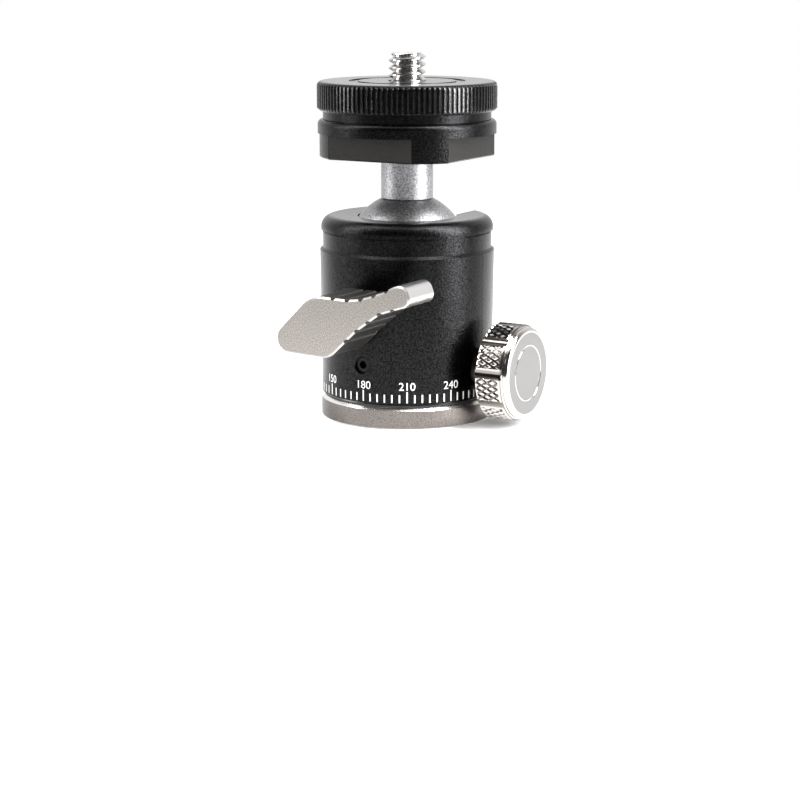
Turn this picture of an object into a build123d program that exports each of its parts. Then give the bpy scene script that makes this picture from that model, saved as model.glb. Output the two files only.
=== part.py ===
"""Miniature tripod ball head: panning base, lever-locked ball in a notched housing, camera platform.

Millimetres, +Z up. The origin is the centre of the base's bottom face, on the pan axis.
-Y is the lock lever's side (180 on the pan scale), +X the pan knob's side (270) and +Y the drop
notch (0). Threads are plain cylinders at their nominal size.
"""

from build123d import *
from math import cos, radians, sin, sqrt
import os

os.makedirs("parts", exist_ok=True)

# ---------------------------------------------------------------- driving dimensions
# Clearances
THREAD_GAP = 0.05  # radial, between a screw and the hole it is screwed into
RUN_GAP = 0.06  # radial, between a shaft and the bore it turns in
FACE_GAP = 0.05  # axial, between two faces that turn against each other
BALL_GAP = 0.05  # between the ball and the two seats that hold it
BALL_CLEAR = 0.25  # between the ball and the rest of the housing
EDGE_BREAK = 0.2  # small chamfers that take off a sharp corner
PAST = 1.0  # how far a cut runs on past the surface that it opens

# Outward from the ball: it sets the bore, and the bore sets every radius outside it
BALL_R = 10.44
BORE_CLEAR = 0.86  # radial, between the ball and the bore
HOUSING_WALL = 3.65  # from the bore to the shoulder
BORE_R = BALL_R + BORE_CLEAR
HOUSING_SHOULDER_R = BORE_R + HOUSING_WALL

# Base ring and spindle
BASE_INSET = 0.15  # base ring inside the housing's shoulder
BASE_R = HOUSING_SHOULDER_R - BASE_INSET
BASE_H = 3.7
BASE_CHAMFER = 0.5
SPINDLE_R = 6.5
SPINDLE_TOP = 12.45
BRAKE_GROOVE_DEPTH = 0.7
BRAKE_GROOVE_HALF = 1.6
TRIPOD_THREAD_R = 3.175  # 1/4 inch
SOCKET_THREAD_R = 4.7625  # 3/8 inch, filled by the bush
SOCKET_DEPTH = 7.0
BUSH_SLOT_WIDTH = 1.2
BUSH_SLOT_DEPTH = 1.0

# Retaining screw and washers on the spindle
RETAINING_THREAD_R = 2.0
RETAINING_HEAD_R = 3.5
RETAINING_HEAD_H = 2.0
RETAINING_SOCKET_AF = 2.5
RETAINING_SOCKET_DEPTH = 1.2
RETAINING_WASHER_R = 8.4
RETAINING_WASHER_H = 0.8
TOP_WASHER_H = 0.2
PAN_WASHER_INSET = 0.6  # inside the base ring's edge
PAN_WASHER_R = BASE_R - PAN_WASHER_INSET
PAN_WASHER_H = 0.36

# Upward from the spindle: the floor, the spring and the cup carry the ball, and the rim holds it
FLOOR_TOP_Z = SPINDLE_TOP - TOP_WASHER_H - FACE_GAP
SPRING_ROOM = 2.1  # from the floor to the cup
CUP_FOOT_Z = FLOOR_TOP_Z + SPRING_ROOM
CUP_H = 8.0
CUP_TOP_Z = CUP_FOOT_Z + CUP_H
BALL_ABOVE_CUP_FOOT = 13.65
BALL_Z = CUP_FOOT_Z + BALL_ABOVE_CUP_FOOT
LOCK_ABOVE_CUP_FOOT = 5.1
LOCK_Z = CUP_FOOT_Z + LOCK_ABOVE_CUP_FOOT

# Housing, outside
HOUSING_TAPER = 0.2  # foot inside the shoulder
HOUSING_FOOT_R = HOUSING_SHOULDER_R - HOUSING_TAPER
FOOT_CHAMFER = 0.3
SHOULDER_ABOVE_BALL = 0.85
SHOULDER_Z = BALL_Z + SHOULDER_ABOVE_BALL
SHOULDER_CHAMFER = 0.45
BAND_STEP = 0.5  # band inside the shoulder
BAND_R = HOUSING_SHOULDER_R - BAND_STEP
CAP_STEP = 0.2  # cap inside the shoulder
CAP_R = HOUSING_SHOULDER_R - CAP_STEP
CAP_ABOVE_BALL = 4.25
CAP_Z = BALL_Z + CAP_ABOVE_BALL
CAP_GROOVE_H = 0.3
CAP_GROOVE_DEPTH = 0.35
RIM_ABOVE_BALL = 6.7
RIM_TOP_Z = BALL_Z + RIM_ABOVE_BALL
RIM_EDGE_R = 2.0
DISH_DROP = 0.2

# Housing, inside
SEAT_ABOVE_BALL = 4.15
SEAT_TOP_Z = BALL_Z + SEAT_ABOVE_BALL
SEAT_HEIGHT = 3.1
FLOOR_FOOT_GAP = 0.2

# Ball, cup and spring
BALL_FLAT_DROP = 1.09  # flat under the stem, below the ball's own top
BALL_FLAT_HEIGHT = BALL_R - BALL_FLAT_DROP
CUP_EYE_R = 5.4
CUP_SLIDE_GAP = 0.08
SPRING_INNER_R = 8.8
SPRING_THICKNESS = 0.5

# Drop notch
NOTCH_HALF = 5.5
NOTCH_EDGE_R = 2.2

# Ball lock
LOCK_THREAD_R = 3.0
LOCK_SPOT_R = 3.9
LOCK_SPOT_SINK = 0.6  # spot face inside the shoulder
LOCK_SPOT_AT = HOUSING_SHOULDER_R - LOCK_SPOT_SINK
LOCK_CONE_INSET = 0.3  # foot of the tip's cone inside the bore
LOCK_CONE_AT = BORE_R - LOCK_CONE_INSET
LOCK_TIP_R = 0.7
NOTCH_GAP = 0.35
LEVER_ANGLE = 20.0
LEVER_STANDOFF = 1.75  # lever's back outside the shoulder
LEVER_BACK_AT = HOUSING_SHOULDER_R + LEVER_STANDOFF
LEVER_DEPTH = 10.3
LEVER_NOSE_RELIEF = 2.5
LEVER_RELIEF_START = 4.5
LEVER_BOSS_INSET = 0.3  # boss inside the spot face
LEVER_BOSS_R = LOCK_SPOT_R - LEVER_BOSS_INSET
LEVER_FACE_CHAMFER = 0.3
LEVER_BORE_DEPTH = 6.8
LEVER_BORE_END = LEVER_BACK_AT + LEVER_BORE_DEPTH
LEVER_WASHER_INSET = 0.15  # washer inside the spot face
LEVER_WASHER_R = LOCK_SPOT_R - LEVER_WASHER_INSET
LEVER_WASHER_H = 0.4
LEVER_NOTCH_R = 0.5
LEVER_NOTCH_SINK = 0.36
LEVER_NOTCH_FIRST = 3.1
LEVER_NOTCH_PITCH = 2.5
LEVER_NOTCHES = 5

# Floor grub screw
GRUB_Z = 10.67
GRUB_X = -0.35
GRUB_R = 1.25
GRUB_HEAD_SINK = 0.55  # head inside the housing's foot radius
GRUB_HEAD_AT = HOUSING_FOOT_R - GRUB_HEAD_SINK
GRUB_LENGTH = 4.6
GRUB_SOCKET_AF = 1.3
GRUB_SOCKET_DEPTH = 1.3
GRUB_HOLE_CHAMFER = 0.2

# Pan lock
PAN_Z = 9.15
PAN_THREAD_R = 2.5
PAN_SPOT_R = 3.7
PAN_SPOT_SINK = 0.45  # spot face inside the housing's foot radius
PAN_SPOT_AT = HOUSING_FOOT_R - PAN_SPOT_SINK
PAN_SCREW_SHORT = 1.4  # screw's end inside the bore
PAN_SCREW_END = BORE_R - PAN_SCREW_SHORT
KNOB_R = 8.25
KNOB_HUB_INSET = 0.4  # hub inside its spot face
KNOB_HUB_R = PAN_SPOT_R - KNOB_HUB_INSET
KNOB_STANDOFF = 2.65  # knob's back outside the shoulder
KNOB_BAND_WIDTH = 4.75
KNOB_NECK_WIDTH = 0.5
KNOB_CAP_WIDTH = 0.7
KNOB_BACK_AT = HOUSING_SHOULDER_R + KNOB_STANDOFF
KNOB_BAND_END = KNOB_BACK_AT + KNOB_BAND_WIDTH
KNOB_NECK_INSET = 0.75
KNOB_NECK_R = KNOB_R - KNOB_NECK_INSET
KNOB_NECK_END = KNOB_BAND_END + KNOB_NECK_WIDTH
KNOB_FACE_AT = KNOB_NECK_END + KNOB_CAP_WIDTH
KNOB_EDGE = 0.25
KNOB_CAP_INSET = 0.45
KNOB_CAP_R = KNOB_R - KNOB_CAP_INSET
KNOB_CAP_EDGE_R = 0.65
KNOB_FLUTES = 9
KNOB_FLUTE_START = 13.5
KNOB_FLUTE_R = 1.8
KNOB_FLUTE_DEPTH = 0.3
CAP_SPIGOT_R = 6.0
CAP_SPIGOT_DEPTH = 1.2
CAP_RING_R = 4.75
CAP_RING_WIDTH = 0.16
CAP_RING_DEPTH = 0.12
BRAKE_R = 2.3
BRAKE_LENGTH = 3.4
BRAKE_NOSE_R = 1.0
BRAKE_TRAVEL = 0.4

# Stem and platform
STEM_R = 4.44
STEM_CHAMFER = 0.25
STEM_SPIGOT_R = 3.0
STEM_SPIGOT_DOWN = 8.0
STEM_SPIGOT_UP = 3.6
PLATFORM_ABOVE_BALL = 16.63
PLATFORM_Z = BALL_Z + PLATFORM_ABOVE_BALL
FLANGE_R = 15.2
FLANGE_H = 2.35
FLANGE_EDGE_R = 0.9
BLOCK_INSET = 0.3  # block's turned corners inside the flange
BLOCK_R = FLANGE_R - BLOCK_INSET
FLAT_INSET = 2.65  # milled flats inside the flange
BLOCK_HALF = FLANGE_R - FLAT_INSET
BLOCK_H = 4.05

# Camera stud and lock disc
STUD_TOP_Z = 62.0
STUD_CHAMFER = 0.55
STUD_STEM_GAP = 0.4  # between the stud's foot and the stem's spigot below it
DISC_OVERHANG = 0.1  # disc outside the platform's flange
DISC_R = FLANGE_R + DISC_OVERHANG
DISC_HUB_INSET = 1.0
DISC_HUB_R = DISC_R - DISC_HUB_INSET
DISC_HUB_H = 1.4
DISC_BAND_H = 4.9
DISC_FOOT_CHAMFER = 0.45
DISC_EDGE_R = 0.85
DISC_RING_IN = 8.3
DISC_RING_OUT = 9.9
DISC_RING_DEPTH = 0.2
DISC_RIBS = 108
DISC_RIB_DEPTH = 0.28

# ---------------------------------------------------------------- derived places
HOUSING_FOOT_Z = BASE_H + PAN_WASHER_H
BAND_FOOT_Z = SHOULDER_Z + SHOULDER_CHAMFER
LIP_R = CAP_R - RIM_EDGE_R
DISH_Z = RIM_TOP_Z - DISH_DROP
BALL_POCKET_R = BALL_R + BALL_CLEAR
SEAT_R = BALL_R + BALL_GAP
SEAT_FOOT_Z = SEAT_TOP_Z - SEAT_HEIGHT
STEM_FOOT_Z = BALL_Z + BALL_FLAT_HEIGHT
FLANGE_Z = PLATFORM_Z + BLOCK_H
PLATFORM_TOP_Z = FLANGE_Z + FLANGE_H
DISC_FOOT_Z = PLATFORM_TOP_Z + FACE_GAP
DISC_BAND_Z = DISC_FOOT_Z + DISC_HUB_H
DISC_TOP_Z = DISC_BAND_Z + DISC_BAND_H
RETAINING_WASHER_Z = SPINDLE_TOP
RETAINING_HEAD_Z = RETAINING_WASHER_Z + RETAINING_WASHER_H
STUD_FOOT_Z = PLATFORM_Z + STEM_SPIGOT_UP + STUD_STEM_GAP


def sphere_r(radius, z):
    """Radius of the horizontal circle that a ball-centred sphere has at height z."""
    return sqrt(radius**2 - (z - BALL_Z) ** 2)


# Planes: "across" planes look along a screw's axis from outside, "along" planes hold the axis
LOCK_ACROSS = Plane(origin=(0, 0, LOCK_Z), x_dir=(1, 0, 0), z_dir=(0, -1, 0))
LOCK_ALONG = Plane(origin=(0, 0, LOCK_Z), x_dir=(0, -1, 0), z_dir=(-1, 0, 0))
LOCK_AXIS = Axis(origin=(0, 0, LOCK_Z), direction=(0, -1, 0))
LEVER_ACROSS = Plane(
    origin=(0, 0, LOCK_Z),
    x_dir=(cos(radians(LEVER_ANGLE)), 0, sin(radians(LEVER_ANGLE))),
    z_dir=(0, -1, 0),
)
LEVER_SIDE = Plane(origin=(0, 0, LOCK_Z), x_dir=LEVER_ACROSS.x_dir, z_dir=LEVER_ACROSS.y_dir)
GRUB_ACROSS = Plane(origin=(GRUB_X, 0, GRUB_Z), x_dir=(1, 0, 0), z_dir=(0, -1, 0))
PAN_ACROSS = Plane(origin=(0, 0, PAN_Z), x_dir=(0, 1, 0), z_dir=(1, 0, 0))
PAN_ALONG = Plane(origin=(0, 0, PAN_Z), x_dir=(1, 0, 0), z_dir=(0, -1, 0))
PAN_AXIS = Axis(origin=(0, 0, PAN_Z), direction=(1, 0, 0))
NOTCH_PLANE = Plane(origin=(0, 0, BALL_Z), x_dir=(-1, 0, 0), z_dir=(0, 1, 0))

# ---------------------------------------------------------------- base
with BuildPart() as pan_base:
    with BuildSketch(Plane.XZ):
        with BuildLine():
            Polyline(
                (0, 0),
                (BASE_R - EDGE_BREAK, 0),
                (BASE_R, EDGE_BREAK),
                (BASE_R, BASE_H - BASE_CHAMFER),
                (BASE_R - BASE_CHAMFER, BASE_H),
                (SPINDLE_R, BASE_H),
                (SPINDLE_R, PAN_Z - BRAKE_GROOVE_HALF),
                (SPINDLE_R - BRAKE_GROOVE_DEPTH, PAN_Z),
                (SPINDLE_R, PAN_Z + BRAKE_GROOVE_HALF),
                (SPINDLE_R, SPINDLE_TOP),
                (0, SPINDLE_TOP),
                close=True,
            )
        make_face()
    revolve(axis=Axis.Z)
    with BuildSketch(Plane.XY):
        Circle(SOCKET_THREAD_R + THREAD_GAP)
    extrude(amount=SOCKET_DEPTH, mode=Mode.SUBTRACT)
    with BuildSketch(Plane.XY.offset(SPINDLE_TOP)):
        Circle(RETAINING_THREAD_R + THREAD_GAP)
    extrude(amount=-(SPINDLE_TOP - SOCKET_DEPTH), mode=Mode.SUBTRACT)

with BuildPart() as base_thread_bush:
    with BuildSketch(Plane.XY):
        Circle(SOCKET_THREAD_R)
        Circle(TRIPOD_THREAD_R + THREAD_GAP, mode=Mode.SUBTRACT)
    extrude(amount=SOCKET_DEPTH - EDGE_BREAK)
    with BuildSketch(Plane.XY):
        Rectangle(2 * SOCKET_THREAD_R, BUSH_SLOT_WIDTH)
    extrude(amount=BUSH_SLOT_DEPTH, mode=Mode.SUBTRACT)

with BuildPart() as pan_retaining_washer:
    with BuildSketch(Plane.XY.offset(RETAINING_WASHER_Z)):
        Circle(RETAINING_WASHER_R)
        Circle(RETAINING_THREAD_R + 2 * THREAD_GAP, mode=Mode.SUBTRACT)
    extrude(amount=RETAINING_WASHER_H)

with BuildPart() as pan_retaining_screw:
    with BuildSketch(Plane.XY.offset(RETAINING_HEAD_Z)):
        Circle(RETAINING_HEAD_R)
    extrude(amount=RETAINING_HEAD_H)
    fillet(pan_retaining_screw.edges().group_by(Axis.Z)[-1], RETAINING_HEAD_H / 3)
    with BuildSketch(Plane.XY.offset(RETAINING_HEAD_Z)):
        Circle(RETAINING_THREAD_R)
    extrude(amount=-(RETAINING_HEAD_Z - SOCKET_DEPTH - EDGE_BREAK))
    with BuildSketch(Plane.XY.offset(RETAINING_HEAD_Z + RETAINING_HEAD_H)):
        RegularPolygon(RETAINING_SOCKET_AF / 2, 6, major_radius=False)
    extrude(amount=-RETAINING_SOCKET_DEPTH, mode=Mode.SUBTRACT)

# ---------------------------------------------------------------- housing
with BuildPart() as housing:
    # turned body: outside from foot to rim, then the dish, the ball pocket and the bore
    with BuildSketch(Plane.XZ):
        with BuildLine():
            Polyline(
                (BORE_R, HOUSING_FOOT_Z),
                (HOUSING_FOOT_R - FOOT_CHAMFER, HOUSING_FOOT_Z),
                (HOUSING_FOOT_R, HOUSING_FOOT_Z + FOOT_CHAMFER),
                (HOUSING_SHOULDER_R, SHOULDER_Z),
                (BAND_R, BAND_FOOT_Z),
                (BAND_R, CAP_Z - CAP_GROOVE_H),
                (BAND_R - CAP_GROOVE_DEPTH, CAP_Z - CAP_GROOVE_H),
                (BAND_R - CAP_GROOVE_DEPTH, CAP_Z),
                (CAP_R, CAP_Z),
                (CAP_R, RIM_TOP_Z - RIM_EDGE_R),
            )
            RadiusArc(
                (CAP_R, RIM_TOP_Z - RIM_EDGE_R),
                (LIP_R, RIM_TOP_Z),
                -RIM_EDGE_R,
            )
            Line((LIP_R, RIM_TOP_Z), (sphere_r(BALL_POCKET_R, DISH_Z), DISH_Z))
            RadiusArc(
                (sphere_r(BALL_POCKET_R, DISH_Z), DISH_Z),
                (sphere_r(BALL_POCKET_R, SEAT_TOP_Z), SEAT_TOP_Z),
                BALL_POCKET_R,
            )
            Polyline(
                (sphere_r(BALL_POCKET_R, SEAT_TOP_Z), SEAT_TOP_Z),
                (BORE_R, SEAT_TOP_Z),
                (BORE_R, HOUSING_FOOT_Z),
            )
        make_face()
    revolve(axis=Axis.Z)
    # drop notch: round-bottomed, with its upper edges rounded over
    with BuildSketch(NOTCH_PLANE):
        with BuildLine():
            top = RIM_TOP_Z - BALL_Z
            over = top + NOTCH_EDGE_R
            Polyline(
                (NOTCH_HALF + NOTCH_EDGE_R, top),
                (NOTCH_HALF + NOTCH_EDGE_R, over),
                (-NOTCH_HALF - NOTCH_EDGE_R, over),
                (-NOTCH_HALF - NOTCH_EDGE_R, top),
            )
            RadiusArc(
                (-NOTCH_HALF - NOTCH_EDGE_R, top),
                (-NOTCH_HALF, top - NOTCH_EDGE_R),
                NOTCH_EDGE_R,
            )
            Line((-NOTCH_HALF, top - NOTCH_EDGE_R), (-NOTCH_HALF, 0))
            ThreePointArc((-NOTCH_HALF, 0), (0, -NOTCH_HALF), (NOTCH_HALF, 0))
            Line((NOTCH_HALF, 0), (NOTCH_HALF, top - NOTCH_EDGE_R))
            RadiusArc(
                (NOTCH_HALF, top - NOTCH_EDGE_R),
                (NOTCH_HALF + NOTCH_EDGE_R, top),
                NOTCH_EDGE_R,
            )
        make_face()
    extrude(amount=HOUSING_SHOULDER_R + PAST, mode=Mode.SUBTRACT)
    # lock screw bore with a spot face for the lever's washer
    with BuildSketch(LOCK_ACROSS):
        Circle(LOCK_THREAD_R + THREAD_GAP)
    extrude(amount=HOUSING_SHOULDER_R + PAST, mode=Mode.SUBTRACT)
    with BuildSketch(LOCK_ACROSS.offset(LOCK_SPOT_AT)):
        Circle(LOCK_SPOT_R)
    extrude(amount=HOUSING_SHOULDER_R + PAST - LOCK_SPOT_AT, mode=Mode.SUBTRACT)
    # grub screw hole, chamfered at its mouth
    with BuildSketch(GRUB_ACROSS):
        Circle(GRUB_R + THREAD_GAP)
    extrude(amount=HOUSING_SHOULDER_R + PAST, mode=Mode.SUBTRACT)
    with BuildSketch(GRUB_ACROSS.offset(HOUSING_FOOT_R - GRUB_HOLE_CHAMFER)):
        Circle(GRUB_R + THREAD_GAP)
    with BuildSketch(GRUB_ACROSS.offset(HOUSING_FOOT_R + GRUB_HOLE_CHAMFER)):
        Circle(GRUB_R + THREAD_GAP + 2 * GRUB_HOLE_CHAMFER)
    loft(mode=Mode.SUBTRACT)
    # pan screw bore with a spot face under the knob's hub
    with BuildSketch(PAN_ACROSS):
        Circle(PAN_THREAD_R + THREAD_GAP)
    extrude(amount=HOUSING_SHOULDER_R + PAST, mode=Mode.SUBTRACT)
    with BuildSketch(PAN_ACROSS.offset(PAN_SPOT_AT)):
        Circle(PAN_SPOT_R)
    extrude(amount=HOUSING_SHOULDER_R + PAST - PAN_SPOT_AT, mode=Mode.SUBTRACT)

with BuildPart() as housing_floor:
    with BuildSketch(Plane.XY.offset(HOUSING_FOOT_Z + FLOOR_FOOT_GAP)):
        Circle(BORE_R - THREAD_GAP)
        Circle(SPINDLE_R + RUN_GAP, mode=Mode.SUBTRACT)
    extrude(amount=FLOOR_TOP_Z - HOUSING_FOOT_Z - FLOOR_FOOT_GAP)
    with BuildSketch(PAN_ACROSS):
        Circle(PAN_THREAD_R + THREAD_GAP)
    extrude(amount=BORE_R, mode=Mode.SUBTRACT)
    with BuildSketch(GRUB_ACROSS.offset(GRUB_HEAD_AT - GRUB_LENGTH - FACE_GAP)):
        Circle(GRUB_R + THREAD_GAP)
    extrude(amount=BORE_R, mode=Mode.SUBTRACT)

with BuildPart() as floor_grub_screw:
    with BuildSketch(GRUB_ACROSS.offset(GRUB_HEAD_AT)):
        Circle(GRUB_R)
    extrude(amount=-GRUB_LENGTH)
    with BuildSketch(GRUB_ACROSS.offset(GRUB_HEAD_AT)):
        RegularPolygon(GRUB_SOCKET_AF / 2, 6, major_radius=False)
    extrude(amount=-GRUB_SOCKET_DEPTH, mode=Mode.SUBTRACT)

with BuildPart() as pan_bearing_washer:
    with BuildSketch(Plane.XY.offset(BASE_H)):
        Circle(PAN_WASHER_R)
        Circle(SPINDLE_R + RUN_GAP, mode=Mode.SUBTRACT)
    extrude(amount=PAN_WASHER_H)

with BuildPart() as pan_top_washer:
    with BuildSketch(Plane.XY.offset(FLOOR_TOP_Z)):
        Circle(RETAINING_WASHER_R)
        Circle(SPINDLE_R + RUN_GAP, mode=Mode.SUBTRACT)
    extrude(amount=TOP_WASHER_H)

with BuildPart() as ball_seat_ring:
    with BuildSketch(Plane.XZ):
        with BuildLine():
            Polyline(
                (sphere_r(SEAT_R, SEAT_FOOT_Z), SEAT_FOOT_Z),
                (BORE_R - THREAD_GAP, SEAT_FOOT_Z),
                (BORE_R - THREAD_GAP, SEAT_TOP_Z),
                (sphere_r(SEAT_R, SEAT_TOP_Z), SEAT_TOP_Z),
            )
            RadiusArc(
                (sphere_r(SEAT_R, SEAT_TOP_Z), SEAT_TOP_Z),
                (sphere_r(SEAT_R, SEAT_FOOT_Z), SEAT_FOOT_Z),
                SEAT_R,
            )
        make_face()
    revolve(axis=Axis.Z)
    with BuildSketch(NOTCH_PLANE):
        Rectangle(2 * NOTCH_HALF, 2 * NOTCH_HALF)
    extrude(amount=BORE_R, mode=Mode.SUBTRACT)

with BuildPart() as cup_spring:
    with BuildSketch(Plane.XZ):
        with BuildLine():
            Polyline(
                (BORE_R - RUN_GAP, FLOOR_TOP_Z),
                (BORE_R - RUN_GAP, FLOOR_TOP_Z + SPRING_THICKNESS),
                (SPRING_INNER_R, CUP_FOOT_Z - FACE_GAP),
                (SPRING_INNER_R, CUP_FOOT_Z - FACE_GAP - SPRING_THICKNESS),
                close=True,
            )
        make_face()
    revolve(axis=Axis.Z)

# ---------------------------------------------------------------- ball lock
with BuildPart() as ball_cup:
    with BuildSketch(Plane.XZ):
        with BuildLine():
            Polyline(
                (CUP_EYE_R, BALL_Z - sqrt(SEAT_R**2 - CUP_EYE_R**2)),
                (CUP_EYE_R, CUP_FOOT_Z),
                (BORE_R - CUP_SLIDE_GAP, CUP_FOOT_Z),
                (BORE_R - CUP_SLIDE_GAP, CUP_TOP_Z),
                (sphere_r(SEAT_R, CUP_TOP_Z), CUP_TOP_Z),
            )
            RadiusArc(
                (sphere_r(SEAT_R, CUP_TOP_Z), CUP_TOP_Z),
                (CUP_EYE_R, BALL_Z - sqrt(SEAT_R**2 - CUP_EYE_R**2)),
                SEAT_R,
            )
        make_face()
    revolve(axis=Axis.Z)
    # conical notch that the lock screw's tip wedges under
    with BuildSketch(LOCK_ALONG):
        with BuildLine():
            Polyline(
                (LOCK_CONE_AT - LOCK_THREAD_R + LOCK_TIP_R - NOTCH_GAP, 0),
                (LOCK_CONE_AT - LOCK_THREAD_R + LOCK_TIP_R - NOTCH_GAP, LOCK_TIP_R + NOTCH_GAP),
                (LOCK_CONE_AT - NOTCH_GAP, LOCK_THREAD_R + NOTCH_GAP),
                (BORE_R, LOCK_THREAD_R + NOTCH_GAP),
                (BORE_R, 0),
                close=True,
            )
        make_face()
    revolve(axis=LOCK_AXIS, mode=Mode.SUBTRACT)

with BuildPart() as lock_screw:
    with BuildSketch(LOCK_ALONG):
        with BuildLine():
            Polyline(
                (LOCK_CONE_AT - LOCK_THREAD_R + LOCK_TIP_R, 0),
                (LOCK_CONE_AT - LOCK_THREAD_R + LOCK_TIP_R, LOCK_TIP_R),
                (LOCK_CONE_AT, LOCK_THREAD_R),
                (LEVER_BORE_END - FACE_GAP, LOCK_THREAD_R),
                (LEVER_BORE_END - FACE_GAP, 0),
                close=True,
            )
        make_face()
    revolve(axis=LOCK_AXIS)

# Corners of the lever's outline, seen from its face with the nose along +X, and their radii
LEVER_UPPER = [(-13.34, -0.44), (-0.84, 5.28), (7.0, 2.19), (12.4, 2.05), (14.6, 2.4), (16.9, 2.15)]
LEVER_LOWER = [(16.9, -1.4), (10.6, -1.15), (5.2, -2.7), (-1.13, -5.45)]
LEVER_RADII = [2.3, 5.2, 14.0, 6.0, 3.0, 1.7, 1.5, 8.0, 12.0, 3.4]


def edge_height(corners, x):
    """Height of a run of straight edges at x, between the corners on either side of it."""
    for (x0, y0), (x1, y1) in zip(corners, corners[1:]):
        if min(x0, x1) <= x <= max(x0, x1):
            return y0 + (y1 - y0) * (x - x0) / (x1 - x0)
    raise ValueError("no edge at this place")


with BuildPart() as lock_lever:
    with BuildSketch(LEVER_ACROSS.offset(LEVER_BACK_AT)):
        with BuildLine():
            FilletPolyline(*LEVER_UPPER, *LEVER_LOWER, radius=LEVER_RADII, close=True)
        make_face()
    extrude(amount=LEVER_DEPTH)
    face_edges = lock_lever.faces().sort_by(Axis.Y)[0].edges()
    chamfer(face_edges, LEVER_FACE_CHAMFER)
    # finger ridges: round notches across both long edges
    with BuildSketch(LEVER_ACROSS.offset(LEVER_BACK_AT)):
        for index in range(LEVER_NOTCHES):
            x = LEVER_NOTCH_FIRST + index * LEVER_NOTCH_PITCH
            out = LEVER_NOTCH_R - LEVER_NOTCH_SINK
            with Locations((x, edge_height(LEVER_UPPER, x) + out), (x, edge_height(LEVER_LOWER, x) - out)):
                Circle(LEVER_NOTCH_R)
    extrude(amount=LEVER_DEPTH, mode=Mode.SUBTRACT)
    # sloping relief behind the nose
    nose_end = LEVER_LOWER[0][0] + PAST
    with BuildSketch(LEVER_SIDE):
        with BuildLine():
            Polyline(
                (LEVER_RELIEF_START, -LEVER_BACK_AT),
                (nose_end, -LEVER_BACK_AT),
                (nose_end, -LEVER_BACK_AT - LEVER_NOSE_RELIEF),
                close=True,
            )
        make_face()
    extrude(amount=LEVER_DEPTH, both=True, mode=Mode.SUBTRACT)
    # boss down to the washer, and the blind bore for the screw
    with BuildSketch(LOCK_ACROSS.offset(LOCK_SPOT_AT + LEVER_WASHER_H + FACE_GAP)):
        Circle(LEVER_BOSS_R)
    extrude(amount=LEVER_BACK_AT - LOCK_SPOT_AT - LEVER_WASHER_H - FACE_GAP)
    with BuildSketch(LOCK_ACROSS.offset(LOCK_SPOT_AT)):
        Circle(LOCK_THREAD_R + THREAD_GAP)
    extrude(amount=LEVER_BORE_END - LOCK_SPOT_AT, mode=Mode.SUBTRACT)

with BuildPart() as lever_washer:
    with BuildSketch(LOCK_ACROSS.offset(LOCK_SPOT_AT)):
        Circle(LEVER_WASHER_R)
        Circle(LOCK_THREAD_R + RUN_GAP, mode=Mode.SUBTRACT)
    extrude(amount=LEVER_WASHER_H)

# ---------------------------------------------------------------- pan lock
with BuildPart() as pan_knob:
    with BuildSketch(PAN_ALONG):
        with BuildLine():
            Polyline(
                (PAN_SPOT_AT + FACE_GAP, 0),
                (PAN_SPOT_AT + FACE_GAP, KNOB_HUB_R),
                (KNOB_BACK_AT, KNOB_HUB_R),
                (KNOB_BACK_AT, KNOB_R - KNOB_EDGE),
                (KNOB_BACK_AT + KNOB_EDGE, KNOB_R),
                (KNOB_BAND_END - KNOB_EDGE, KNOB_R),
                (KNOB_BAND_END, KNOB_R - KNOB_EDGE),
                (KNOB_BAND_END + KNOB_EDGE, KNOB_R - 2 * KNOB_EDGE),
                (KNOB_BAND_END + KNOB_EDGE, KNOB_NECK_R),
                (KNOB_NECK_END, KNOB_NECK_R),
                (KNOB_NECK_END, 0),
                close=True,
            )
        make_face()
    revolve(axis=PAN_AXIS)
    with BuildSketch(PAN_ACROSS.offset(KNOB_BACK_AT)):
        with PolarLocations(KNOB_R - KNOB_FLUTE_DEPTH + KNOB_FLUTE_R, KNOB_FLUTES, KNOB_FLUTE_START):
            Circle(KNOB_FLUTE_R)
    extrude(amount=KNOB_BAND_END - KNOB_BACK_AT, mode=Mode.SUBTRACT)
    with BuildSketch(PAN_ACROSS.offset(KNOB_NECK_END)):
        Circle(CAP_SPIGOT_R + THREAD_GAP)
    extrude(amount=-CAP_SPIGOT_DEPTH - FACE_GAP, mode=Mode.SUBTRACT)
    with BuildSketch(PAN_ACROSS.offset(PAN_SPOT_AT)):
        Circle(PAN_THREAD_R + THREAD_GAP)
    extrude(amount=KNOB_NECK_END - PAN_SPOT_AT, mode=Mode.SUBTRACT)

with BuildPart() as pan_knob_cap:
    with BuildSketch(PAN_ALONG):
        with BuildLine():
            Polyline(
                (KNOB_NECK_END - CAP_SPIGOT_DEPTH, 0),
                (KNOB_NECK_END - CAP_SPIGOT_DEPTH, CAP_SPIGOT_R),
                (KNOB_NECK_END, CAP_SPIGOT_R),
                (KNOB_NECK_END, KNOB_CAP_R),
                (KNOB_FACE_AT - KNOB_CAP_EDGE_R, KNOB_CAP_R),
            )
            RadiusArc(
                (KNOB_FACE_AT - KNOB_CAP_EDGE_R, KNOB_CAP_R),
                (KNOB_FACE_AT, KNOB_CAP_R - KNOB_CAP_EDGE_R),
                KNOB_CAP_EDGE_R,
            )
            Polyline(
                (KNOB_FACE_AT, KNOB_CAP_R - KNOB_CAP_EDGE_R),
                (KNOB_FACE_AT, CAP_RING_R + CAP_RING_WIDTH / 2),
                (KNOB_FACE_AT - CAP_RING_DEPTH, CAP_RING_R),
                (KNOB_FACE_AT, CAP_RING_R - CAP_RING_WIDTH / 2),
                (KNOB_FACE_AT, 0),
                (KNOB_NECK_END - CAP_SPIGOT_DEPTH, 0),
            )
        make_face()
    revolve(axis=PAN_AXIS)

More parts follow.
